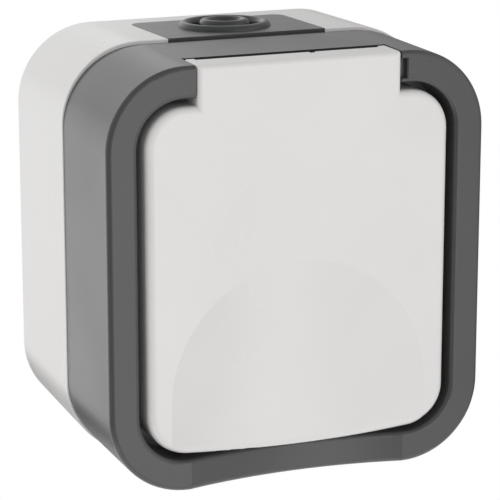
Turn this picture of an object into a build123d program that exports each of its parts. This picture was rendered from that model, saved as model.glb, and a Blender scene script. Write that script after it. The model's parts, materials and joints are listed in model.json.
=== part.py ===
from build123d import *
from math import atan2, degrees, sqrt
import os

# Outdoor weatherproof socket: a wall box, a frame with a spring-closed lid, and the socket insert.
# X is to the right, Z is up and Y goes into the wall. The origin is the centre of the box's back
# face, which lies on the wall, so the front is towards -Y. Depths count from the wall, in mm.

# Housing outline: the box widens from its back to its mouth by a moulding draft
housing_width = 75.0
box_height = 79.7
box_corner = 15.2
box_draft = 0.85
box_side_draft = 0.1
frame_step = 0.4
frame_corner = 15.4
wall = 2.4

# Depths of the housing
rear_wall = 2.6
box_depth = 29.4
groove_width = 1.4
frame_side = 25.0

# Lap joint between box and frame, with the shadow groove outside it
groove_inset = 0.33
groove_side_inset = 0.2
lap_skin = 1.2
lap_length = 2.6
lap_clearance = 0.1
seal_thickness = 1.0
box_mouth_rounding = 0.2
box_rear_rounding = 0.3

# Back of the box
back_rim = 5.0
back_relief = 0.8
wall_hole_radius = 2.25
wall_hole_spacing = 54.0
wall_boss_radius = 5.0
wall_boss_rise = 1.5

# Frame
band_side = 5.8
band_end = 6.0
window_corner = 9.2
window_rounding = 0.8
recess_depth = 9.0
floor_thickness = 2.5
tray_wall = 1.8
band_thickness = 5.0
front_rounding = 0.95
rear_taper = 0.15
rear_taper_length = 1.0
scoop_margin = 0.8
scoop_depth = 2.6

# Screws that hold the frame to the box
frame_screw_inset = 6.5
frame_screw_end_inset = 6.7
pillar_radius = 4.0
pillar_length = 24.4
frame_boss_radius = 4.6
screw_radius = 1.75
screw_clearance = 0.25
thread_clearance = 0.05
screw_head_radius = 3.0
screw_head_height = 2.2
screw_head_sink = 0.8
screw_head_clearance = 0.3
screw_bite = 10.0

# Lid
lid_side_gap = 1.6
lid_end_gap = 1.5
lid_corner = 7.6
lid_proud = 0.4
lid_plate = 2.0
lid_wall = 1.8
lid_skirt_gap = 1.3
lid_rounding = 1.6
grip_radius = 108.0
grip_half_width = 25.7
grip_centre = -23.4

# Hinge hood at the top of the lid
tab_width = 40.36
tab_clearance = 0.22
tab_corner = 0.5
tab_rounding = 1.0
strip_thickness = 1.4
strip_depth = 6.0
cheek_thickness = 1.8
cheek_depth = 7.1
notch_x = 4.5
notch_width = 1.2
notch_depth = 0.9

# Hinge pin, its seats in the frame and its spring
hinge_depth = 3.4
hinge_drop = 3.3
pin_radius = 0.8
pin_clearance = 0.04
pin_hold_clearance = 0.02
pin_end = 0.95
hinge_block_margin = 4.0
top_edge_setback = 7.87
top_edge_thickness = 2.0
top_edge_undercut = 0.75
pocket_width = 1.15
pocket_height = 3.7
pocket_depth = 1.4
pocket_bevel = 0.2
spring_radius = 1.3
spring_wire_radius = 0.25
spring_pitch = 0.95
spring_full_turns = 7
spring_moving_leg = 2.2
spring_fixed_leg = 6.6

# Gasket on the lid
gasket_inner_radius = 22.3
gasket_width = 3.0
gasket_height = 3.2
gasket_gap = 0.2
gasket_rib_width = 1.2
gasket_rib_grip = 1.6
gasket_rib_clearance = 0.05

# Socket cup
cup_radius = 19.5
cup_wall = 1.5
cup_depth = 17.5
cup_base = 2.5
cup_flange = 2.0
cup_flange_thickness = 1.5
cup_clearance = 0.15
pin_spacing = 19.0
pin_hole_radius = 2.7
key_width = 5.0
key_height = 2.0
clip_slot_front = 1.8
clip_slot_length = 13.4
centre_head_radius = 3.6
centre_screw_length = 10.0

# Earth bracket
earth_width = 6.0
sheet = 1.0
sheet_clearance = 0.3
clip_bend_depth = 13.0
clip_nose_depth = 7.5
clip_nose_radius = 17.9
clip_tip_depth = 3.0
clip_tip_radius = 19.2

# Contact carrier and its screws
carrier_height = 36.0
carrier_depth = 18.0
carrier_corner = 3.0
carrier_floor = 3.0
carrier_screw_inset = 6.1
carrier_lug_reach = 4.0
carrier_screw_end = 1.9
lug_radius = 4.2
carrier_pillar_radius = 3.6

# Contacts and terminals
sleeve_inner_radius = 2.75
sleeve_sheet = 0.8
sleeve_length = 13.0
sleeve_setback = 0.4
sleeve_slit = 1.0
contact_strip_width = 5.0
terminal_depth = 12.0
terminal_x = 19.0
earth_terminal_x = 8.4
earth_terminal_z = -13.0
earth_foot_width = 6.4
clamp_size = 8.0
clamp_sheet = 1.4
clamp_opening = 2.0
clamp_hook = 0.8
terminal_screw_radius = 1.5
terminal_screw_tail = 2.5
terminal_head_radius = 2.4
terminal_head_height = 1.8
terminal_access_radius = 2.8

# Cable entry inserts
entry_width = 32.4
entry_front_rounding = 0.2
entry_back = 6.3
entry_corner = 2.5
entry_flange = 1.5
entry_flange_thickness = 1.1
entry_proud = 0.05
entry_clearance = 0.05
entry_centre = 17.1
entry_margin = 1.0
outer_ring_height = 1.0
inner_ring_height = 1.4
outer_ring_radius = 9.1
inner_ring_radius = 5.0
ring_width = 2.2
ring_groove_depth = 0.6
membrane_thickness = 0.8

# Places worked out from the sizes above
groove_front = box_depth + groove_width
front = groove_front + frame_side
floor_front = front - recess_depth
floor_back = floor_front - floor_thickness
mouth_height = box_height + 2 * box_draft
frame_height = mouth_height - 2 * frame_step
frame_top = frame_height / 2
window_width = housing_width - 2 * band_side
window_height = frame_height - 2 * band_end
scoop_half = window_width / 2 - window_corner - scoop_margin
scoop_radius = (scoop_half**2 + scoop_depth**2) / (2 * scoop_depth)
lap_floor = box_depth - lap_length
tongue_back = lap_floor + seal_thickness
lid_front = front + lid_proud
lid_inside = lid_front - lid_plate
skirt_back = floor_front + lid_skirt_gap
panel_width = window_width - 2 * lid_side_gap
panel_height = window_height - 2 * lid_end_gap
gap_width = tab_width + 2 * tab_clearance
hinge_y = -(front - hinge_depth)
hinge_z = frame_top - hinge_drop
pin_seat_radius = pin_radius + pin_clearance
notch_front = lid_front - strip_depth + notch_depth
rib_back = floor_front + gasket_gap + gasket_height - gasket_rib_grip
rib_inner = gasket_inner_radius + (gasket_width - gasket_rib_width) / 2
cup_outer = cup_radius + cup_wall
thread_radius = screw_radius + thread_clearance
entry_half = entry_width / 2
neck_half = entry_half - entry_flange
entry_reach = entry_centre - entry_back
entry_height = box_height / 2 + box_draft * entry_centre / box_depth
entry_tilt = degrees(atan2(box_draft, box_depth))
pin_seat_end = gap_width / 2 + pocket_width
cup_floor = floor_front - cup_depth
cup_back = cup_floor - cup_base
carrier_front = cup_back
carrier_back = carrier_front - carrier_depth
carrier_screw_x = housing_width / 2 - wall - carrier_screw_inset
carrier_width = 2 * (carrier_screw_x - carrier_lug_reach)
carrier_screw_length = carrier_floor + carrier_back - rear_wall - carrier_screw_end
sleeve_back = carrier_front - sleeve_setback - sleeve_length
earth_back = carrier_front - sheet - sheet_clearance
terminal_face = carrier_front - terminal_depth + sheet
terminal_thread_radius = terminal_screw_radius + thread_clearance
clamp_back = terminal_face + clamp_opening
terminal_seat = clamp_back + clamp_sheet
pillar_front = rear_wall + pillar_length
screw_seat = floor_front - screw_head_sink - screw_head_height
frame_screw_x = window_width / 2 - frame_screw_inset
frame_screw_z = window_height / 2 - frame_screw_end_inset
frame_screw_places = [(sx * frame_screw_x, sz * frame_screw_z) for sx in (-1, 1) for sz in (-1, 1)]
carrier_screw_places = [(-carrier_screw_x, 0), (carrier_screw_x, 0)]
terminal_places = [(-terminal_x, 0), (terminal_x, 0), (earth_terminal_x, earth_terminal_z)]
wall_hole_places = [(0, -wall_hole_spacing / 2), (0, wall_hole_spacing / 2)]


def slab(outline, near, far):
    """Solid of an outline drawn in X and Z, between two depths from the wall."""
    return extrude(Plane.XZ.offset(near) * outline, amount=far - near)


def loop(inset=0.0):
    """Outline of the box's back at its full width, moved inwards by an inset."""
    return RectangleRounded(housing_width - 2 * inset, box_height - 2 * inset, box_corner - inset)


def frame_loop(inset=0.0):
    """Outline of the frame, moved inwards by an inset."""
    return RectangleRounded(housing_width - 2 * inset, frame_height - 2 * inset, frame_corner - inset)


def window_loop(growth=0.0):
    """Outline of the lid's window, moved outwards by a growth."""
    return RectangleRounded(window_width + 2 * growth, window_height + 2 * growth, window_corner + growth)


def panel_loop(inset=0.0):
    """Outline of the lid's panel, moved inwards by an inset."""
    return RectangleRounded(panel_width - 2 * inset, panel_height - 2 * inset, lid_corner - inset)


def rods(places, radius, near, far):
    """Round bars along Y at places in X and Z, between two depths from the wall."""
    return slab(Sketch() + [Pos(x, z) * Circle(radius) for x, z in places], near, far)


def block(x0, x1, z0, z1, near, far):
    """Box between two limits in X and Z and two depths from the wall."""
    return slab(Pos((x0 + x1) / 2, (z0 + z1) / 2) * Rectangle(x1 - x0, z1 - z0), near, far)


def across(points, x0, x1):
    """Prism along X of an outline given as depths from the wall and heights."""
    outline = make_face(Polyline([(-depth, z) for depth, z in points], close=True))
    return extrude(Plane.YZ.offset(x0) * outline, amount=x1 - x0)


def hinge_bar(radius, x0, x1):
    """Round bar on the hinge axis between two places in X."""
    start = Plane((x0, hinge_y, hinge_z), x_dir=(0, 1, 0), z_dir=(1, 0, 0))
    return extrude(start * Circle(radius), amount=x1 - x0)


def front_edges(solid, depth, outline, within):
    """Edges of a solid wholly in front of a depth, with their middles inside or outside an outline."""
    region = slab(outline, depth - 1, 2 * depth)
    return [
        edge for edge in solid.edges()
        if edge.bounding_box().max.Y < -depth and region.is_inside(edge.position_at(0.5)) == within
    ]


def pan_screws(places, seat, length, radius, head_radius, head_height):
    """Cross-slotted screws facing the front, their heads standing on a depth from the wall."""
    head = extrude(Circle(head_radius), amount=head_height)
    head = fillet(head.edges().group_by(Axis.Z)[-1], head_height / 3)
    arm = Rectangle(head_radius, head_radius / 4)
    recess = extrude(Pos(0, 0, head_height) * (arm + Rot(0, 0, 90) * arm), amount=-head_height / 2)
    solid = head + extrude(Circle(radius), amount=-length) - recess
    return Compound([Pos(x, -seat, z) * Rot(90, 0, 0) * solid for x, z in places])


def entry_place(z_sign, height, tilt):
    """Place of the top or the bottom cable entry, at a height, its plane falling to the back by a tilt."""
    return Pos(0, -entry_centre, z_sign * height) * Rot(0, 90 - 90 * z_sign, 0) * Rot(-tilt, 0, 0)


def entry_plate(half_width, back, low, high, margin=0.0):
    """Plate on a cable entry's plane, from the box's mouth to a back edge with rounded corners."""
    mouth = box_depth - entry_centre + margin
    outline = Pos(0, (back - mouth) / 2) * Rectangle(2 * half_width, back + mouth)
    outline = fillet(outline.vertices().group_by(Axis.Y)[-1], entry_corner)
    return extrude(Pos(0, 0, low) * outline, amount=high - low)


def make_back_box():
    """Moulded wall box: screw pillars, pads at the back and slots for the cable inserts."""
    rear = RectangleRounded(housing_width - 2 * box_side_draft, box_height, box_corner)
    mouth = RectangleRounded(housing_width, mouth_height, box_corner)
    box = loft([Plane.XZ * rear, Plane.XZ.offset(box_depth) * mouth])
    box = fillet(box.edges().group_by(Axis.Y)[-1], box_rear_rounding)
    box = fillet(box.edges().group_by(Axis.Y)[0], box_mouth_rounding)
    box -= slab(loop(wall), rear_wall, box_depth)
    box -= slab(loop(lap_skin), lap_floor, box_depth)
    box += rods(frame_screw_places, pillar_radius, rear_wall, pillar_front)
    box += rods(carrier_screw_places, carrier_pillar_radius, rear_wall, carrier_back)
    box += rods(wall_hole_places, wall_boss_radius, rear_wall, rear_wall + wall_boss_rise)
    pads = rods([*wall_hole_places, (0, 0)], wall_boss_radius, 0, back_relief)
    box -= slab(loop(back_rim), 0, back_relief) - pads
    box -= rods(frame_screw_places, thread_radius, pillar_front - screw_bite - 1, pillar_front)
    box -= rods(carrier_screw_places, thread_radius, rear_wall, carrier_back)
    box -= rods(wall_hole_places, wall_hole_radius, 0, rear_wall + wall_boss_rise)
    flange_room = entry_plate(entry_half, entry_reach, -entry_flange_thickness, wall, entry_margin)
    neck_room = entry_plate(neck_half, entry_reach - entry_flange, -2 * wall, 0, entry_margin)
    for z_sign in (1, -1):
        box -= entry_place(z_sign, entry_height, entry_tilt) * (flange_room + neck_room)
    return box


def make_cable_grommet(z_sign):
    """Rubber insert: a flange over the slot, a neck in it, a lip inside the box and two raised rings."""
    half = entry_half - entry_clearance
    reach = entry_reach - entry_clearance
    flange = entry_plate(half, reach, -entry_flange_thickness, entry_proud)
    front_edge = flange.edges().filter_by(Axis.X).group_by(Axis.Z)[-1].sort_by(Axis.Y)[0]
    flange = fillet(front_edge, entry_front_rounding)
    lip_top = -wall - entry_clearance
    neck = entry_plate(neck_half - entry_clearance, reach - entry_flange, lip_top - box_draft, 0)
    lip = entry_plate(half, reach, lip_top - entry_flange_thickness, lip_top)
    channel_floor = entry_proud - ring_groove_depth
    half_ring = ring_width / 2
    profile = Sketch()
    for radius, height in ((outer_ring_radius, outer_ring_height), (inner_ring_radius, inner_ring_height)):
        round_centre = entry_proud + height - half_ring
        foot = Rectangle(ring_width, round_centre - channel_floor)
        profile += Pos(radius - half_ring, round_centre) * Circle(half_ring)
        profile += Pos(radius - half_ring, (round_centre + channel_floor) / 2) * foot
    rings = revolve(Plane.XZ * profile, Axis.Z)
    channel_outline = Circle(outer_ring_radius - ring_width) - Circle(inner_ring_radius)
    channel = extrude(Pos(0, 0, channel_floor) * channel_outline, amount=inner_ring_height)
    eye_outline = Circle(inner_ring_radius - ring_width)
    eye = extrude(Pos(0, 0, membrane_thickness - wall) * eye_outline, amount=2 * wall)
    insert = entry_place(z_sign, entry_height, entry_tilt) * (flange + neck + rings - channel - eye)
    insert += entry_place(z_sign, box_height / 2, 0) * lip
    insert &= slab(loop(-outer_ring_radius), 0, box_depth)
    inside = slab(loop(wall + 2 * entry_flange_thickness), lap_floor, box_depth)
    return insert - (slab(loop(lap_skin), lap_floor, box_depth) - inside)


def make_box_seal():
    """Rubber ring that lies in the step of the box's mouth, under the frame's tongue."""
    outer = loop(lap_skin + lap_clearance)
    return slab(outer, lap_floor, tongue_back) - slab(loop(wall), lap_floor, tongue_back)


def make_front_frame():
    """Moulded frame: shell, tray behind the lid's window, hinge seats, screw bosses and finger scoop."""
    rim = front - scoop_depth - window_rounding
    taper_front = groove_front + rear_taper_length
    rear_edge = Plane.XZ.offset(groove_front) * frame_loop(rear_taper)
    frame = slab(frame_loop(), taper_front, front)
    frame += loft([rear_edge, Plane.XZ.offset(taper_front) * frame_loop()])
    scoop_y = scoop_depth - front - scoop_radius
    frame -= Pos(0, scoop_y, -frame_top) * Cylinder(scoop_radius, window_height)
    frame = fillet(front_edges(frame, rim, frame_loop(1), False), front_rounding)
    groove_width_inside = housing_width - 2 * groove_side_inset
    groove_height_inside = frame_height - 2 * groove_inset
    groove = RectangleRounded(groove_width_inside, groove_height_inside, frame_corner - groove_inset)
    frame += slab(groove, box_depth, groove_front)
    frame += slab(loop(lap_skin + lap_clearance), tongue_back, box_depth)
    band_back = front - band_thickness
    frame -= slab(loop(wall), tongue_back, band_back)
    frame += slab(window_loop(tray_wall), floor_back, band_back)
    frame += rods(frame_screw_places, frame_boss_radius, pillar_front, floor_front)
    block_half = gap_width / 2 + hinge_block_margin
    frame += block(-block_half, block_half, window_height / 2, frame_top - wall, floor_back, band_back)
    frame -= slab(window_loop(), floor_front, front)
    frame = fillet(front_edges(frame, rim, window_loop(0.1), True), window_rounding)
    hood_edge = front - top_edge_setback
    gap_low = (window_height - window_corner) / 2
    gap_outline = [
        (floor_front, gap_low),
        (floor_front, frame_top - top_edge_thickness),
        (hood_edge - top_edge_undercut, frame_top - top_edge_thickness),
        (hood_edge, frame_top),
        (hood_edge, frame_top + 1),
        (front + 1, frame_top + 1),
        (front + 1, gap_low),
    ]
    frame -= across(gap_outline, -gap_width / 2, gap_width / 2)
    frame -= hinge_bar(pin_seat_radius, -pin_seat_end, housing_width / 2)
    pocket = (hinge_z - pocket_height / 2, hinge_z + pocket_height / 2)
    frame -= block(gap_width / 2, pin_seat_end, *pocket, front - pocket_depth, front)
    mouth = Pos((gap_width / 2 + pin_seat_end) / 2, hinge_z) * Rectangle(pocket_width, pocket_height)
    frame -= extrude(Plane.XZ.offset(front - pocket_bevel) * mouth, amount=pocket_bevel, taper=-45)
    frame -= slab(Circle(cup_outer + cup_clearance), floor_back, floor_front)
    rebate = Circle(cup_outer + cup_flange + cup_clearance)
    frame -= slab(rebate, floor_front - cup_flange_thickness, floor_front)
    frame -= rods(frame_screw_places, screw_head_radius + screw_head_clearance, screw_seat, floor_front)
    frame -= rods(frame_screw_places, screw_radius + screw_clearance, pillar_front, screw_seat)
    return frame


def grip_form(radius):
    """Full form of the lid's finger grip: a ball that runs on downwards as a round column."""
    column = Pos(0, 0, -panel_height / 2) * Cylinder(radius, panel_height)
    centre_y = sqrt(grip_radius**2 - grip_half_width**2) - lid_front
    return Pos(0, centre_y, grip_centre) * (Sphere(radius) + column)


def make_lid():
    """Moulded lid: a skirted panel with a raised finger grip, a hinge hood and a rib for the gasket."""
    tab_low = panel_height / 2 - lid_corner
    tab_outline = Pos(0, (tab_low + frame_top) / 2) * Rectangle(tab_width, frame_top - tab_low)
    outline = panel_loop() + fillet(tab_outline.vertices().group_by(Axis.Y)[-1], tab_corner)
    lid = slab(outline, lid_inside, lid_front) + slab(panel_loop(), skirt_back, lid_front)
    half = tab_width / 2
    inner = half - cheek_thickness
    cheek_low = panel_height / 2 - lid_wall
    hood = block(-half, half, frame_top - strip_thickness, frame_top, lid_front - strip_depth, lid_front)
    for x0, x1 in ((-half, -inner), (inner, half)):
        hood += block(x0, x1, cheek_low, frame_top, lid_front - cheek_depth, lid_front)
    lid += hood & slab(outline, skirt_back, lid_front)
    grip_front = lid_front + grip_half_width
    lid += grip_form(grip_radius) & slab(panel_loop(), lid_inside, grip_front)
    tab_foot = panel_height / 2 + 0.1
    for radius, on_tab in ((lid_rounding, False), (tab_rounding, True)):
        rim = front_edges(lid, lid_front - 0.1, offset(outline, -0.5), False)
        lid = fillet([edge for edge in rim if (edge.center().Z > tab_foot) == on_tab], radius)
    rib_ring = Circle(rib_inner + gasket_rib_width) - Circle(rib_inner)
    rib = slab(rib_ring, rib_back, grip_front) & lid
    hollow = slab(panel_loop(lid_wall), skirt_back, lid_inside)
    hollow += grip_form(grip_radius - lid_plate) & slab(panel_loop(lid_wall), lid_inside, grip_front)
    hollow += block(-inner, inner, cheek_low, panel_height / 2, skirt_back, lid_inside)
    lid = lid - hollow + rib
    notch = (notch_x - notch_width / 2, notch_x + notch_width / 2)
    lid -= block(*notch, frame_top - strip_thickness, frame_top, lid_front - strip_depth, notch_front)
    return lid - hinge_bar(pin_radius + pin_hold_clearance, -half, half)


def make_hinge_pin():
    """Steel pin held in the lid's cheeks; its ends turn in the frame's seats."""
    return hinge_bar(pin_radius, -gap_width / 2 - pin_end, gap_width / 2 + pin_end)


def make_hinge_spring():
    """Torsion spring around the pin: one leg under the hood's strip, the other back to the frame."""
    turns = spring_full_turns + 150 / 360
    height = spring_pitch * turns
    place = Plane((notch_x - height, hinge_y, hinge_z), x_dir=(0, 0, 1), z_dir=(1, 0, 0))
    coil = place * Helix(spring_pitch, height, spring_radius)
    moving_leg = Line(coil @ 0 - (coil % 0) * spring_moving_leg, coil @ 0)
    fixed_leg = Line(coil @ 1, coil @ 1 + (coil % 1) * spring_fixed_leg)
    path = Wire([moving_leg, coil, fixed_leg])
    section = Plane(moving_leg @ 0, z_dir=moving_leg % 0) * Circle(spring_wire_radius)
    return sweep(section, path=path, is_frenet=True)


def make_lid_gasket():
    """Rubber ring pushed over the lid's rib, closing on the floor around the socket."""
    back = floor_front + gasket_gap
    ring = Circle(gasket_inner_radius + gasket_width) - Circle(gasket_inner_radius)
    slot_inner = rib_inner - gasket_rib_clearance
    slot_outer = rib_inner + gasket_rib_width + gasket_rib_clearance
    slot = Circle(slot_outer) - Circle(slot_inner)
    return slab(ring, back, back + gasket_height) - slab(slot, rib_back, back + gasket_height)


def make_socket_face():
    """Moulded cup for the plug: flange, side keys, pin holes, earth clip slots and a screw hole."""
    cup = slab(Circle(cup_outer), cup_back, floor_front)
    cup += slab(Circle(cup_outer + cup_flange), floor_front - cup_flange_thickness, floor_front)
    cup -= slab(Circle(cup_radius), cup_floor, floor_front)
    for x0, x1 in ((-cup_outer, key_height - cup_radius), (cup_radius - key_height, cup_outer)):
        key = block(x0, x1, -key_width / 2, key_width / 2, cup_floor, floor_front)
        cup += key & slab(Circle(cup_outer), cup_back, floor_front)
    cup -= rods([(-pin_spacing / 2, 0), (pin_spacing / 2, 0)], pin_hole_radius, cup_back, cup_floor)
    slot_half = earth_width / 2 + sheet_clearance
    slot_front = floor_front - clip_slot_front
    slot_low = cup_radius - key_height
    for z0, z1 in ((slot_low, cup_outer), (-cup_outer, -slot_low)):
        cup -= block(-slot_half, slot_half, z0, z1, slot_front - clip_slot_length, slot_front)
    cup -= slab(Circle(screw_radius + screw_clearance), cup_back, cup_floor)
    return cup - centre_head(screw_clearance)


def centre_head(clearance):
    """Countersunk head of the centre screw, flush with the cup's floor, with a clearance around it."""
    height = centre_head_radius - screw_radius
    cone = Cone(screw_radius + clearance, centre_head_radius + clearance, height)
    return Pos(0, height / 2 - cup_floor, 0) * Rot(90, 0, 0) * cone


def make_centre_screw():
    """Countersunk screw that holds the cup and the earth bracket to the carrier."""
    shank = slab(Circle(screw_radius), cup_back - centre_screw_length, cup_floor)
    arm = Rectangle(centre_head_radius, centre_head_radius / 4)
    recess = slab(arm + Rot(0, 0, 90) * arm, cup_floor - centre_head_radius / 3, cup_floor)
    return centre_head(0) + shank - recess


def make_contact_carrier():
    """Moulded block behind the cup: contact cavities, three terminal chambers and two fixing lugs."""
    outline = RectangleRounded(carrier_width, carrier_height, carrier_corner)
    low = -carrier_height / 2
    carrier = slab(outline, carrier_back, carrier_front)
    lug_front = carrier_back + carrier_floor
    carrier += rods(carrier_screw_places, lug_radius, carrier_back, lug_front)
    carrier += block(-carrier_screw_x, carrier_screw_x, -lug_radius, lug_radius, carrier_back, lug_front)
    carrier -= rods(carrier_screw_places, screw_radius + screw_clearance, carrier_back, lug_front)
    chamber_front = terminal_seat + terminal_head_height + sheet_clearance
    sleeve_room = sleeve_inner_radius + sleeve_sheet + sheet_clearance
    pin_places = [(-pin_spacing / 2, 0), (pin_spacing / 2, 0)]
    carrier -= rods(pin_places, sleeve_room, sleeve_back - sheet_clearance, carrier_front)
    room = clamp_size / 2 + sheet_clearance
    for x in (-terminal_x, terminal_x):
        carrier -= block(x - room, x + room, -room, -low, lug_front, chamber_front)
    strip_room = contact_strip_width / 2 + sheet_clearance
    strip_back = terminal_face - sheet - sheet_clearance
    for x0, x1 in ((-terminal_x, -pin_spacing / 2), (pin_spacing / 2, terminal_x)):
        carrier -= block(x0, x1, -strip_room, strip_room, strip_back, terminal_face + sheet_clearance)
    carrier -= rods(terminal_places, terminal_access_radius, chamber_front, carrier_front)
    leg_x = earth_width / 2 - sheet_clearance
    chamber_right = earth_terminal_x + room
    chamber_top = earth_terminal_z + room
    carrier -= block(leg_x, chamber_right, low, chamber_top, lug_front, chamber_front)
    leg_half = earth_foot_width / 2 + sheet_clearance
    leg_slot = (leg_x, earth_width / 2 + sheet + sheet_clearance)
    leg_ends = (earth_terminal_z - leg_half, earth_terminal_z + leg_half)
    carrier -= block(*leg_slot, *leg_ends, lug_front, carrier_front)
    strip_half = earth_width / 2 + sheet_clearance
    carrier -= block(-strip_half, strip_half, low, -low, earth_back, carrier_front)
    return carrier - slab(Circle(thread_radius), cup_back - centre_screw_length - 1, carrier_front)


def make_contact(x_sign):
    """Brass contact: a slit sleeve for the plug's pin with a strip that ends under the terminal screw."""
    outer = sleeve_inner_radius + sleeve_sheet
    pin_place = Pos(pin_spacing / 2, 0)
    contact = slab(pin_place * Circle(outer), sleeve_back, sleeve_back + sleeve_length)
    strip_half = contact_strip_width / 2
    strip_end = terminal_x + clamp_size / 2 - clamp_hook
    strip_back = terminal_face - sheet
    contact += block(pin_spacing / 2, strip_end, -strip_half, strip_half, strip_back, terminal_face)
    contact -= slab(pin_place * Circle(sleeve_inner_radius), sleeve_back, sleeve_back + sleeve_length)
    slit = (pin_spacing / 2 - outer, pin_spacing / 2)
    contact -= block(*slit, -sleeve_slit / 2, sleeve_slit / 2, sleeve_back, sleeve_back + sleeve_length)
    contact -= rods([(terminal_x, 0)], terminal_thread_radius, strip_back, terminal_face)
    return contact if x_sign > 0 else mirror(contact, Plane.YZ)


def make_earth_bracket():
    """Folded brass strip: two sprung clips through the cup's wall, and a leg back to the earth terminal."""
    arm = cup_outer + sheet_clearance + sheet / 2
    base = earth_back + sheet / 2
    side = [
        (floor_front - clip_tip_depth, clip_tip_radius),
        (floor_front - clip_nose_depth, clip_nose_radius),
        (floor_front - clip_bend_depth, arm),
        (base, arm),
    ]
    points = [(-depth, z) for depth, z in side] + [(-depth, -z) for depth, z in reversed(side)]
    outline = trace(Polyline(points), sheet)
    bracket = extrude(Plane.YZ.offset(-earth_width / 2) * outline, amount=earth_width)
    foot = (earth_terminal_z - earth_foot_width / 2, earth_terminal_z + earth_foot_width / 2)
    leg_x = earth_width / 2
    bracket += block(leg_x, leg_x + sheet, *foot, terminal_face - sheet, earth_back + sheet)
    foot_end = earth_terminal_x + clamp_size / 2 - clamp_hook
    bracket += block(leg_x, foot_end, *foot, terminal_face - sheet, terminal_face)
    earth_place = [(earth_terminal_x, earth_terminal_z)]
    bracket -= rods(earth_place, terminal_thread_radius, terminal_face - sheet, terminal_face)
    return bracket - slab(Circle(screw_radius + screw_clearance), earth_back, earth_back + sheet)


def make_terminal_clamps():
    """Square clamping plates under the terminal screws, each with one edge hooked down beside the strip."""
    clamps = []
    for x, z in terminal_places:
        side = 1 if x > 0 else -1
        half = clamp_size / 2
        plate = block(x - half, x + half, z - half, z + half, clamp_back, terminal_seat)
        hook_edges = sorted((x + side * half, x + side * (half - clamp_hook)))
        hook = block(*hook_edges, z - half, z + half, terminal_face - sheet, terminal_seat)
        clamps.append(plate + hook - rods([(x, z)], terminal_thread_radius, clamp_back, terminal_seat))
    return Compound(clamps)


parts = {
    "back_box": make_back_box(),
    "top_cable_grommet": make_cable_grommet(1),
    "bottom_cable_grommet": make_cable_grommet(-1),
    "box_seal": make_box_seal(),
    "front_frame": make_front_frame(),
    "frame_screws": pan_screws(
        frame_screw_places, screw_seat, screw_seat - pillar_front + screw_bite,
        screw_radius, screw_head_radius, screw_head_height,
    ),
    "lid": make_lid(),
    "lid_gasket": make_lid_gasket(),
    "hinge_pin": make_hinge_pin(),
    "hinge_spring": make_hinge_spring(),
    "socket_face": make_socket_face(),
    "centre_screw": make_centre_screw(),
    "contact_carrier": make_contact_carrier(),
    "carrier_screws": pan_screws(
        carrier_screw_places, carrier_back + carrier_floor, carrier_screw_length,
        screw_radius, screw_head_radius, screw_head_height,
    ),
    "live_contact": make_contact(1),
    "neutral_contact": make_contact(-1),
    "earth_bracket": make_earth_bracket(),
    "terminal_clamps": make_terminal_clamps(),
    "terminal_screws": pan_screws(
        terminal_places, terminal_seat, terminal_seat - terminal_face + sheet + terminal_screw_tail,
        terminal_screw_radius, terminal_head_radius, terminal_head_height,
    ),
}

os.makedirs("parts", exist_ok=True)
for name, shape in parts.items():
    export_step(shape, f"parts/{name}.step")
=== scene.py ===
import json
from math import pi, radians
import bmesh
import bpy
from mathutils import Euler, Matrix, Vector


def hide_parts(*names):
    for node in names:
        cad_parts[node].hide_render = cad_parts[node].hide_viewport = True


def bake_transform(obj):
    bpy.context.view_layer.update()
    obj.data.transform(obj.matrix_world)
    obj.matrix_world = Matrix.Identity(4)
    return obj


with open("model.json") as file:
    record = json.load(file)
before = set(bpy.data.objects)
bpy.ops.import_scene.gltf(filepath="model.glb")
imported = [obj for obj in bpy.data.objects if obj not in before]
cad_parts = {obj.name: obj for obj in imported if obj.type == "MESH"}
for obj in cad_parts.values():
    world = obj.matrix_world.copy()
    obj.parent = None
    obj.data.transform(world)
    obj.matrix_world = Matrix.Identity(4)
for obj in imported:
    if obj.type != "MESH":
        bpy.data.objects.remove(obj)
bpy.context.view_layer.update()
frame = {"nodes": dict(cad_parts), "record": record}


# The wall box is one open moulding of light grey ABS, a little wider at its mouth than at its back
# so that it leaves the mould. Two screws through its back hold it to the wall.
def linear(hex_colour):
    """Linear colour of an sRGB hex value."""
    channels = [int(hex_colour[i:i + 2], 16) / 255 for i in (1, 3, 5)]
    return [c / 12.92 if c <= 0.04045 else ((c + 0.055) / 1.055) ** 2.4 for c in channels] + [1.0]


def add_node(tree, kind, settings=None, values=None, links=None):
    """A new node with its settings, its input values and the outputs that feed its inputs."""
    node = tree.nodes.new(kind)
    for name, value in (settings or {}).items():
        setattr(node, name, value)
    for name, value in (values or {}).items():
        node.inputs[name].default_value = value
    for name, source in (links or {}).items():
        tree.links.new(source, node.inputs[name])
    return node


def new_surface(name, values):
    """A material with its shader's own values set, and its node tree, shader and place on the object."""
    material = bpy.data.materials.new(name)
    material.use_nodes = True
    tree = material.node_tree
    shader = tree.nodes["Principled BSDF"]
    for socket, value in values.items():
        shader.inputs[socket].default_value = value
    place = add_node(tree, "ShaderNodeTexCoord").outputs["Object"]
    return material, tree, shader, place


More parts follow.
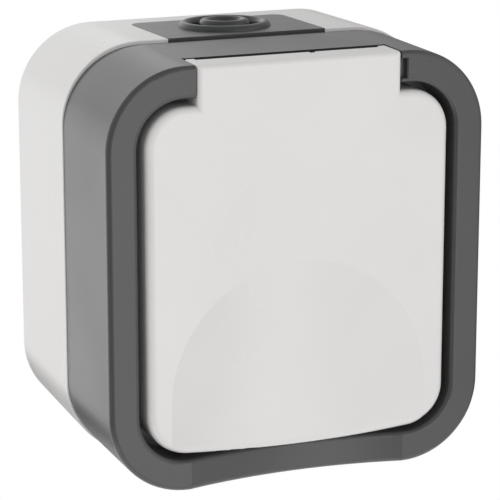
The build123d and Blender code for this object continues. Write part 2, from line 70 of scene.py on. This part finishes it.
# A spark-eroded mould leaves plastic with a fine even grain and a satin gloss. The eye sees a soft
# sheen that is never quite even, and a tone that drifts slightly with the flow of the plastic. The
# real grain is under 0.1 mm, too fine to show, so it is drawn at least four times as coarse.
def eroded_plastic(name, pale, deep, ior, roughness, grain_mm, grain_depth_mm):
    """Moulded plastic from a spark-eroded mould."""
    material, tree, shader, place = new_surface(name, {"IOR": ior})
    flow = add_node(tree, "ShaderNodeTexNoise", values={"Scale": 1000 / 24, "Detail": 3.0, "Distortion": 0.6},
                    links={"Vector": place})
    tone = add_node(tree, "ShaderNodeValToRGB", links={"Fac": flow.outputs["Fac"]})
    tone.color_ramp.elements[0].position = 0.3
    tone.color_ramp.elements[0].color = linear(deep)
    tone.color_ramp.elements[1].position = 0.7
    tone.color_ramp.elements[1].color = linear(pale)
    tree.links.new(tone.outputs["Color"], shader.inputs["Base Color"])
    grain = add_node(tree, "ShaderNodeTexNoise", values={"Scale": 1000 / grain_mm, "Detail": 2.0},
                     links={"Vector": place})
    gloss = add_node(tree, "ShaderNodeMapRange",
                     values={"To Min": roughness - 0.06, "To Max": roughness + 0.06},
                     links={"Value": flow.outputs["Fac"]})
    tree.links.new(gloss.outputs["Result"], shader.inputs["Roughness"])
    relief = add_node(tree, "ShaderNodeBump", values={"Strength": 0.35, "Distance": grain_depth_mm / 1000},
                      links={"Height": grain.outputs["Fac"]})
    tree.links.new(relief.outputs["Normal"], shader.inputs["Normal"])
    return material


def dress(material, *names):
    """Gives CAD nodes one material."""
    for name in names:
        slots = frame["nodes"][name].data.materials
        slots.clear()
        slots.append(material)


grey_abs = eroded_plastic("light_grey_abs_spark_eroded", "#DBDAD9", "#D8D6D5", 1.54, 0.29, 0.45, 0.006)
dress(grey_abs, "back_box")


# Two soft inserts close the cable entries at the top and bottom of the box. Each is pushed into its
# slot from the mouth and has two raised rings round a thin membrane that the cable is pushed through.
# Moulded thermoplastic rubber looks dark and even, with a faint grey bloom in patches and a satin
# sheen. The skin's grain is drawn coarser than the real one, which is too fine to show.
soft_rubber, tree, shader, place = new_surface("dark_grey_rubber_moulded", {"IOR": 1.52})
bloom = add_node(tree, "ShaderNodeTexNoise", values={"Scale": 1000 / 5, "Detail": 4.0, "Roughness": 0.6},
                 links={"Vector": place})
tone = add_node(tree, "ShaderNodeValToRGB", links={"Fac": bloom.outputs["Fac"]})
tone.color_ramp.elements[0].color = linear("#363738")
tone.color_ramp.elements[1].color = linear("#404142")
tree.links.new(tone.outputs["Color"], shader.inputs["Base Color"])
gloss = add_node(tree, "ShaderNodeMapRange", values={"To Min": 0.26, "To Max": 0.36},
                 links={"Value": bloom.outputs["Fac"]})
tree.links.new(gloss.outputs["Result"], shader.inputs["Roughness"])
skin = add_node(tree, "ShaderNodeTexNoise", values={"Scale": 1000 / 0.35, "Detail": 2.0},
                links={"Vector": place})
relief = add_node(tree, "ShaderNodeBump", values={"Strength": 0.3, "Distance": 0.000008},
                  links={"Height": skin.outputs["Fac"]})
tree.links.new(relief.outputs["Normal"], shader.inputs["Normal"])
dress(soft_rubber, "top_cable_grommet", "bottom_cable_grommet")


# A rubber cord lies in the step of the box's mouth, and a rubber ring on the lid closes round the
# socket. Both are cut or moulded from black sealing rubber.
# Its surface is almost matt, dusted with the talc that keeps it from sticking, in fine pale specks.
seal_rubber, tree, shader, place = new_surface("black_sealing_rubber_talced",
                                               {"IOR": 1.5, "Specular IOR Level": 0.3})
talc = add_node(tree, "ShaderNodeTexNoise", values={"Scale": 1000 / 0.9, "Detail": 6.0, "Roughness": 0.7},
                links={"Vector": place})
tone = add_node(tree, "ShaderNodeValToRGB", links={"Fac": talc.outputs["Fac"]})
tone.color_ramp.elements[0].position = 0.45
tone.color_ramp.elements[0].color = linear("#242425")
tone.color_ramp.elements[1].position = 0.85
tone.color_ramp.elements[1].color = linear("#3A3A3B")
tree.links.new(tone.outputs["Color"], shader.inputs["Base Color"])
gloss = add_node(tree, "ShaderNodeMapRange", values={"To Min": 0.55, "To Max": 0.75},
                 links={"Value": talc.outputs["Fac"]})
tree.links.new(gloss.outputs["Result"], shader.inputs["Roughness"])
dress(seal_rubber, "box_seal", "lid_gasket")


# The carrier behind the socket holds the contacts apart. It is pressed from a mineral-filled
# thermoset that stands heat, and two screws fix its lugs to pillars in the box.
# The filler shows as a matt warm grey with fine paler and darker specks.
thermoset, tree, shader, place = new_surface("warm_grey_thermoset_pressed", {"IOR": 1.56})
filler = add_node(tree, "ShaderNodeTexNoise", values={"Scale": 1000 / 0.8, "Detail": 5.0, "Roughness": 0.65},
                  links={"Vector": place})
tone = add_node(tree, "ShaderNodeValToRGB", links={"Fac": filler.outputs["Fac"]})
tone.color_ramp.elements[0].position = 0.35
tone.color_ramp.elements[0].color = linear("#B9B2A2")
tone.color_ramp.elements[1].position = 0.65
tone.color_ramp.elements[1].color = linear("#CBC5B6")
tree.links.new(tone.outputs["Color"], shader.inputs["Base Color"])
gloss = add_node(tree, "ShaderNodeMapRange", values={"To Min": 0.5, "To Max": 0.62},
                 links={"Value": filler.outputs["Fac"]})
tree.links.new(gloss.outputs["Result"], shader.inputs["Roughness"])
relief = add_node(tree, "ShaderNodeBump", values={"Strength": 0.3, "Distance": 0.00001},
                  links={"Height": filler.outputs["Fac"]})
tree.links.new(relief.outputs["Normal"], shader.inputs["Normal"])
dress(thermoset, "contact_carrier")


# The live and neutral contacts and the earth bracket are stamped and folded from brass strip.
# Rolling leaves fine lines along the strip, drawn coarser here than they are, and handling a slightly
# browner, duller tone in places.
brass, tree, shader, place = new_surface("brass_strip_rolled", {"Metallic": 1.0})
strip = add_node(tree, "ShaderNodeMapping", values={"Scale": (1000 / 6, 1000 / 6, 1000 / 0.25)},
                 links={"Vector": place})
lines = add_node(tree, "ShaderNodeTexNoise", values={"Scale": 1.0, "Detail": 3.0},
                 links={"Vector": strip.outputs["Vector"]})
tarnish = add_node(tree, "ShaderNodeTexNoise", values={"Scale": 1000 / 7, "Detail": 4.0},
                   links={"Vector": place})
tone = add_node(tree, "ShaderNodeValToRGB", links={"Fac": tarnish.outputs["Fac"]})
tone.color_ramp.elements[0].position = 0.35
tone.color_ramp.elements[0].color = linear("#B98F4A")
tone.color_ramp.elements[1].position = 0.65
tone.color_ramp.elements[1].color = linear("#D9B56C")
tree.links.new(tone.outputs["Color"], shader.inputs["Base Color"])
gloss = add_node(tree, "ShaderNodeMapRange", values={"To Min": 0.22, "To Max": 0.42},
                 links={"Value": lines.outputs["Fac"]})
tree.links.new(gloss.outputs["Result"], shader.inputs["Roughness"])
relief = add_node(tree, "ShaderNodeBump", values={"Strength": 0.15, "Distance": 0.000006},
                  links={"Height": lines.outputs["Fac"]})
tree.links.new(relief.outputs["Normal"], shader.inputs["Normal"])
dress(brass, "live_contact", "neutral_contact", "earth_bracket")


# Terminal screws with square clamping plates hold the wires, and more cross-slotted screws hold the
# carrier, the socket and the frame. All are cold-formed steel with a bright zinc plating.
# The plating has a faint blue cast that shifts in patches, and tumbling leaves it finely pitted, with
# the pits drawn coarser than they are.
zinc, tree, shader, place = new_surface("steel_zinc_plated", {"Metallic": 1.0})
cast = add_node(tree, "ShaderNodeTexNoise", values={"Scale": 1000 / 2.5, "Detail": 3.0},
                links={"Vector": place})
tone = add_node(tree, "ShaderNodeValToRGB", links={"Fac": cast.outputs["Fac"]})
tone.color_ramp.elements[0].position = 0.35
tone.color_ramp.elements[0].color = linear("#B3B7BA")
tone.color_ramp.elements[1].position = 0.65
tone.color_ramp.elements[1].color = linear("#CDCFCE")
tree.links.new(tone.outputs["Color"], shader.inputs["Base Color"])
pits = add_node(tree, "ShaderNodeTexVoronoi", values={"Scale": 1000 / 0.3}, links={"Vector": place})
gloss = add_node(tree, "ShaderNodeMapRange", values={"To Min": 0.26, "To Max": 0.42},
                 links={"Value": pits.outputs["Distance"]})
tree.links.new(gloss.outputs["Result"], shader.inputs["Roughness"])
relief = add_node(tree, "ShaderNodeBump", values={"Strength": 0.12, "Distance": 0.000008},
                  links={"Height": pits.outputs["Distance"]})
tree.links.new(relief.outputs["Normal"], shader.inputs["Normal"])
dress(zinc, "terminal_screws", "terminal_clamps", "carrier_screws", "centre_screw", "frame_screws")


# The socket's cup is a moulding of light grey polycarbonate with a polished mould face, so it is a
# little glossier than the box. Its flange rests in the frame and the centre screw holds it.
cup_plastic = eroded_plastic("light_grey_polycarbonate_polished", "#D8D8D7", "#D5D5D4", 1.58, 0.3, 0.6, 0.003)
dress(cup_plastic, "socket_face")


# The front frame is moulded from anthracite ABS in a spark-eroded mould. It fits into the box's mouth,
# carries the socket in its tray and the lid on its hinge, and four screws in the tray hold it.
dark_abs = eroded_plastic("anthracite_abs_spark_eroded", "#444444", "#414141", 1.54, 0.3, 0.4, 0.006)
dress(dark_abs, "front_frame")


# The lid is a moulding of the same grey ABS as the box, with a raised finger grip at its lower edge
# and a hood over the hinge at its top.
dress(grey_abs, "lid")


# A drawn steel pin runs through the lid's cheeks and turns in the frame.
# Drawing leaves bright fine lines along the pin, drawn coarser here than they are, with the grey of
# the oiled steel between them.
drawn_steel, tree, shader, place = new_surface("steel_wire_drawn", {"Metallic": 1.0})
along = add_node(tree, "ShaderNodeMapping", values={"Scale": (1000 / 8, 1000 / 0.12, 1000 / 0.12)},
                 links={"Vector": place})
lines = add_node(tree, "ShaderNodeTexNoise", values={"Scale": 1.0, "Detail": 3.0},
                 links={"Vector": along.outputs["Vector"]})
tone = add_node(tree, "ShaderNodeValToRGB", links={"Fac": lines.outputs["Fac"]})
tone.color_ramp.elements[0].position = 0.3
tone.color_ramp.elements[0].color = linear("#8F9193")
tone.color_ramp.elements[1].position = 0.7
tone.color_ramp.elements[1].color = linear("#B9BBBC")
tree.links.new(tone.outputs["Color"], shader.inputs["Base Color"])
gloss = add_node(tree, "ShaderNodeMapRange", values={"To Min": 0.2, "To Max": 0.36},
                 links={"Value": lines.outputs["Fac"]})
tree.links.new(gloss.outputs["Result"], shader.inputs["Roughness"])
dress(drawn_steel, "hinge_pin")


# The lid's return spring is wound from drawn steel wire round the hinge pin. One leg lies under the
# hood's strip and goes with the lid, the other leans back on the frame, so the coil twists between them.
hinge = Vector(frame["record"]["behaviour"]["joints"][0]["pos_m"])
coil_radius = 0.0013
wire_radius = 0.00025
coil_pitch = 0.00095
coil_turns = 7 + 150 / 360
coil_right = 0.0045
turn_steps = 24
wire_sides = 10
moving_leg_length = 0.0022
fixed_leg_length = 0.0066
coil_steps = round(coil_turns * turn_steps)
coil_left = coil_right - coil_pitch * coil_turns
rise = coil_pitch * coil_turns / coil_steps

bm = bmesh.new()
upright = Matrix.Translation((coil_left, hinge.y, hinge.z + coil_radius)) @ Matrix.Rotation(pi / 2, 4, "X")
ring = bmesh.ops.create_circle(bm, segments=wire_sides, radius=wire_radius, matrix=upright)["verts"]
first_edges = bm.edges[:]
wound = bmesh.ops.spin(bm, geom=ring + first_edges, cent=hinge, axis=(1, 0, 0), dvec=(rise, 0, 0),
                       angle=2 * pi * coil_turns, steps=coil_steps, use_merge=False)
last_edges = [e for e in wound["geom_last"] if isinstance(e, bmesh.types.BMEdge)]
end_turn = Matrix.Rotation(2 * pi * coil_turns, 3, "X")
moving_leg = Vector((0, moving_leg_length, 0))
fixed_leg = end_turn @ Vector((0, -fixed_leg_length, 0))
for edges, leg in ((first_edges, moving_leg), (last_edges, fixed_leg)):
    drawn = bmesh.ops.extrude_edge_only(bm, edges=edges)["geom"]
    bmesh.ops.translate(bm, verts=[v for v in drawn if isinstance(v, bmesh.types.BMVert)], vec=leg)
    bmesh.ops.holes_fill(bm, edges=[e for e in drawn if isinstance(e, bmesh.types.BMEdge)])
bmesh.ops.recalc_face_normals(bm, faces=bm.faces)
for face in bm.faces:
    face.smooth = len(face.verts) == 4
spring_mesh = bpy.data.meshes.new("return_spring")
bm.to_mesh(spring_mesh)
bm.free()
spring_mesh.materials.append(drawn_steel)
spring = bpy.data.objects.new("return_spring", spring_mesh)
bpy.context.collection.objects.link(spring)
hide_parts("hinge_spring")
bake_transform(spring)


# The studio: a plain pale floor well below the socket, as the wall it hangs on is left out, and white
# all round. The floor is matt card and keeps the shadow; the eye and the gloss see it lit up white.
floor_level = -0.22
floor_half = 0.3
bm = bmesh.new()
bmesh.ops.create_grid(bm, x_segments=1, y_segments=1, size=floor_half,
                      matrix=Matrix.Translation((0, 0, floor_level)))
floor_mesh = bpy.data.meshes.new("floor")
bm.to_mesh(floor_mesh)
bm.free()
floor = bpy.data.objects.new("floor", floor_mesh)
bpy.context.collection.objects.link(floor)
card, tree, shader, place = new_surface("white_card_matt", {"Roughness": 0.9, "Specular IOR Level": 0.0})
mottle = add_node(tree, "ShaderNodeTexNoise", values={"Scale": 1000 / 60, "Detail": 2.0},
                  links={"Vector": place})
tone = add_node(tree, "ShaderNodeValToRGB", links={"Fac": mottle.outputs["Fac"]})
tone.color_ramp.elements[0].color = linear("#E4E4E4")
tone.color_ramp.elements[1].color = linear("#E8E8E8")
tree.links.new(tone.outputs["Color"], shader.inputs["Base Color"])
shader.inputs["Emission Color"].default_value = (1.0, 1.0, 1.0, 1.0)
path = add_node(tree, "ShaderNodeLightPath")
seen = add_node(tree, "ShaderNodeMath", {"operation": "MAXIMUM"})
tree.links.new(path.outputs["Is Camera Ray"], seen.inputs[0])
tree.links.new(path.outputs["Is Glossy Ray"], seen.inputs[1])
seen_through = add_node(tree, "ShaderNodeMath", {"operation": "MAXIMUM"})
tree.links.new(seen.outputs["Value"], seen_through.inputs[0])
tree.links.new(path.outputs["Is Transmission Ray"], seen_through.inputs[1])
lift = add_node(tree, "ShaderNodeMapRange", values={"To Min": 0.0, "To Max": 0.8},
                links={"Value": seen_through.outputs["Value"]})
tree.links.new(lift.outputs["Result"], shader.inputs["Emission Strength"])
floor_mesh.materials.append(card)

# The surrounding light is white and a little dimmer from above, and the camera sees plain white. The
# gloss sees white behind the socket, and five dark screens, front left, left, above, back right and
# low at the back, which shade the frame's edges and corners. A screen has a direction, the cosines at
# its soft edge and at its core, and the light that its core leaves.
world = bpy.data.worlds.new("studio")
bpy.context.scene.world = world
world.use_nodes = True
tree = world.node_tree
soft_light = tree.nodes["Background"]
soft_light.inputs["Strength"].default_value = 0.92
towards = add_node(tree, "ShaderNodeTexCoord").outputs["Generated"]
upwards = add_node(tree, "ShaderNodeSeparateXYZ", links={"Vector": towards})
ceiling = add_node(tree, "ShaderNodeValToRGB", links={"Fac": upwards.outputs["Z"]})
ceiling.color_ramp.elements[0].position = 0.3
ceiling.color_ramp.elements[0].color = (1.0, 1.0, 1.0, 1.0)
ceiling.color_ramp.elements[1].position = 0.9
ceiling.color_ramp.elements[1].color = (0.75, 0.75, 0.75, 1.0)
tree.links.new(ceiling.outputs["Color"], soft_light.inputs["Color"])
shades = []
for middle, edge, core, dark in (
    ((-0.35, -0.93, 0.0), 0.4, 0.85, 0.4),
    ((-0.93, -0.36, 0.0), 0.55, 0.85, 0.45),
    ((0.0, 0.0, 1.0), 0.4, 0.9, 0.3),
    ((0.9, 0.41, -0.15), 0.55, 0.78, 0.35),
    ((0.3, 0.45, -0.84), 0.61, 0.73, 0.1),
):
    screen = add_node(tree, "ShaderNodeVectorMath", {"operation": "DOT_PRODUCT"}, {1: middle}, {0: towards})
    shade = add_node(tree, "ShaderNodeValToRGB", links={"Fac": screen.outputs["Value"]})
    shade.color_ramp.elements[0].position = edge
    shade.color_ramp.elements[0].color = (1.0, 1.0, 1.0, 1.0)
    shade.color_ramp.elements[1].position = core
    shade.color_ramp.elements[1].color = (dark, dark, dark, 1.0)
    shades.append(shade.outputs["Color"])
gloss_colour = shades[0]
for shade in shades[1:]:
    shaded = add_node(tree, "ShaderNodeMix", {"data_type": "RGBA", "blend_type": "MULTIPLY"}, {0: 1.0},
                      {6: gloss_colour, 7: shade})
    gloss_colour = shaded.outputs[2]
gloss_light = add_node(tree, "ShaderNodeBackground", values={"Strength": 1.0}, links={"Color": gloss_colour})
white = add_node(tree, "ShaderNodeBackground", values={"Color": (1.0, 1.0, 1.0, 1.0), "Strength": 1.0})
path = add_node(tree, "ShaderNodeLightPath")
mirrored = add_node(tree, "ShaderNodeMath", {"operation": "MAXIMUM"})
tree.links.new(path.outputs["Is Glossy Ray"], mirrored.inputs[0])
tree.links.new(path.outputs["Is Transmission Ray"], mirrored.inputs[1])
light = soft_light.outputs["Background"]
for ray, shown in ((mirrored.outputs["Value"], gloss_light), (path.outputs["Is Camera Ray"], white)):
    either = add_node(tree, "ShaderNodeMixShader", links={"Fac": ray})
    tree.links.new(light, either.inputs[1])
    tree.links.new(shown.outputs["Background"], either.inputs[2])
    light = either.outputs["Shader"]
tree.links.new(light, tree.nodes["World Output"].inputs["Surface"])

# Three soft boxes: an upright one in front, one low behind on the left that the frame's side mirrors,
# and a wide one high behind that the tops mirror, with place and size in metres and power in watts.
# None is seen by the camera.
for name, spot, width, height, power in (
    ("front_soft_box", (0.46, -1.83, -0.1), 0.66, 1.8, 6.1),
    ("back_left_soft_box", (-0.72, 1.7, -0.3), 0.75, 0.9, 1.08),
    ("back_top_soft_box", (-0.1, 1.7, 0.5), 1.4, 0.7, 1.0),
):
    lamp = bpy.data.lights.new(name, "AREA")
    lamp.shape = "RECTANGLE"
    lamp.size = width
    lamp.size_y = height
    lamp.energy = power
    soft_box = bpy.data.objects.new(name, lamp)
    soft_box.location = spot
    soft_box.visible_camera = False
    soft_box.rotation_euler = (-Vector(spot)).to_track_quat("-Z", "Y").to_euler()
    bpy.context.collection.objects.link(soft_box)

# The camera stands to the left and above, as in the photograph: a long lens, half a metre away.
view = bpy.data.cameras.new("camera")
view.sensor_width = 36.0
view.lens = 178.13
camera = bpy.data.objects.new("camera", view)
camera.location = (-0.1732, -0.46579, 0.12047)
camera.rotation_euler = Euler((radians(90 - 14.644), 0, radians(-21.706)))
bpy.context.collection.objects.link(camera)
bpy.context.scene.camera = camera
bpy.context.scene.view_settings.view_transform = "Standard"
